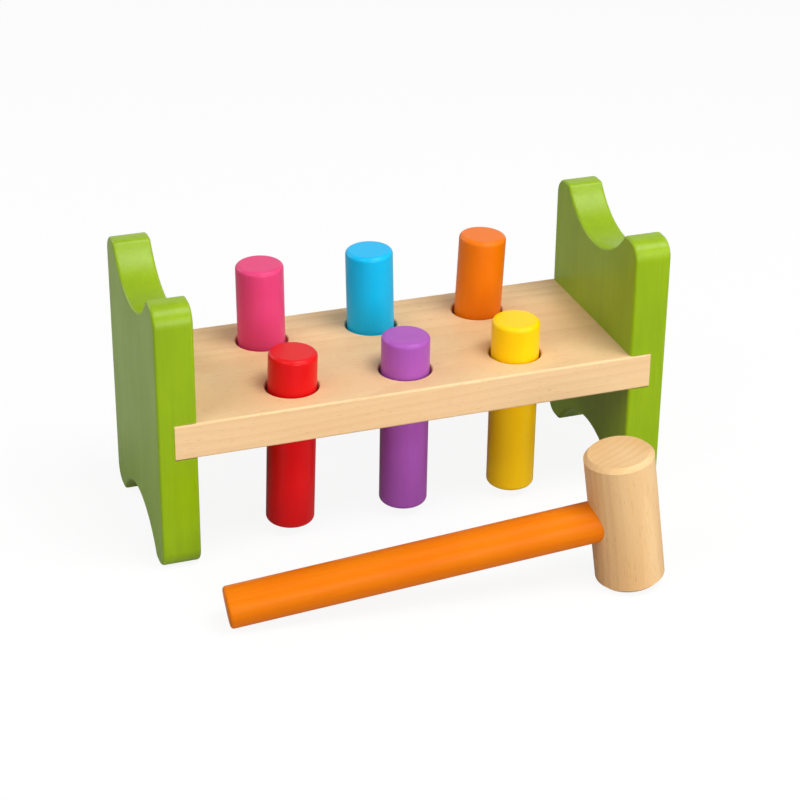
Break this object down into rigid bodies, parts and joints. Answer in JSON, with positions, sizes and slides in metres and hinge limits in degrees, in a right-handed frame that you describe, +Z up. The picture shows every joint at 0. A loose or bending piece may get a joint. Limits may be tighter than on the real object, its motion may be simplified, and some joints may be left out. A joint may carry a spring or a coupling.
{
  "type": "peg pounding bench",
  "caption": "Wooden pounding toy: painted pegs held by rubber rings slide through a board housed between two scalloped end panels, with a turned mallet beside it.",
  "frame": {"origin": "middle of the whole set's footprint on the table, at table height", "axes": "+X along the bench to the right, +Y from the mallet towards the bench's back, +Z up"},
  "size_m": [0.226, 0.1662, 0.12],
  "materials": {
    "green_paint": "satin lime-green paint on wood",
    "bare_wood": "smooth bare pale hardwood, clear sealed",
    "head_wood": "smooth turned pale hardwood, clear sealed",
    "handle_paint": "satin orange paint on a hardwood dowel",
    "ring_rubber": "black rubber",
    "pink_paint": "satin pink paint on a hardwood dowel",
    "blue_paint": "satin blue paint on a hardwood dowel",
    "orange_paint": "satin orange paint on a hardwood dowel",
    "red_paint": "satin red paint on a hardwood dowel",
    "purple_paint": "satin purple paint on a hardwood dowel",
    "yellow_paint": "satin yellow paint on a hardwood dowel"
  },
  "bodies": {
    "bench": {"left_end_panel": "green_paint", "right_end_panel": "green_paint", "peg_board": "bare_wood", "ring_back_left": "ring_rubber", "ring_back_middle": "ring_rubber", "ring_back_right": "ring_rubber", "ring_front_left": "ring_rubber", "ring_front_middle": "ring_rubber", "ring_front_right": "ring_rubber"},
    "pink_peg": {"pink_peg": "pink_paint"},
    "blue_peg": {"blue_peg": "blue_paint"},
    "orange_peg": {"orange_peg": "orange_paint"},
    "red_peg": {"red_peg": "red_paint"},
    "purple_peg": {"purple_peg": "purple_paint"},
    "yellow_peg": {"yellow_peg": "yellow_paint"},
    "mallet": {"mallet_head": "head_wood", "mallet_handle": "handle_paint"}
  },
  "joints": [
    {"name": "pink_peg_slide", "type": "slide", "parent": "bench", "child": "pink_peg", "axis": [-0.01, 0, 1], "range_m": [-0.02441, 0.0275]},
    {"name": "blue_peg_slide", "type": "slide", "parent": "bench", "child": "blue_peg", "axis": [-0.0237, 0, 0.9997], "range_m": [-0.02431, 0.0275]},
    {"name": "orange_peg_slide", "type": "slide", "parent": "bench", "child": "orange_peg", "axis": [0.045, 0, 0.999], "range_m": [-0.02417, 0.0275]},
    {"name": "red_peg_slide", "type": "slide", "parent": "bench", "child": "red_peg", "axis": [0.0287, 0, 0.9996], "range_m": [-0.00377, 0.048]},
    {"name": "purple_peg_slide", "type": "slide", "parent": "bench", "child": "purple_peg", "axis": [0.0075, 0, 1], "range_m": [-0.00393, 0.048]},
    {"name": "yellow_peg_slide", "type": "slide", "parent": "bench", "child": "yellow_peg", "axis": [0.0062, 0, 1], "range_m": [-0.00394, 0.048]},
    {"name": "mallet_lift", "type": "slide", "parent": "bench", "child": "mallet", "axis": [0, 0, 1], "range_m": [0, 0.15]}
  ]
}
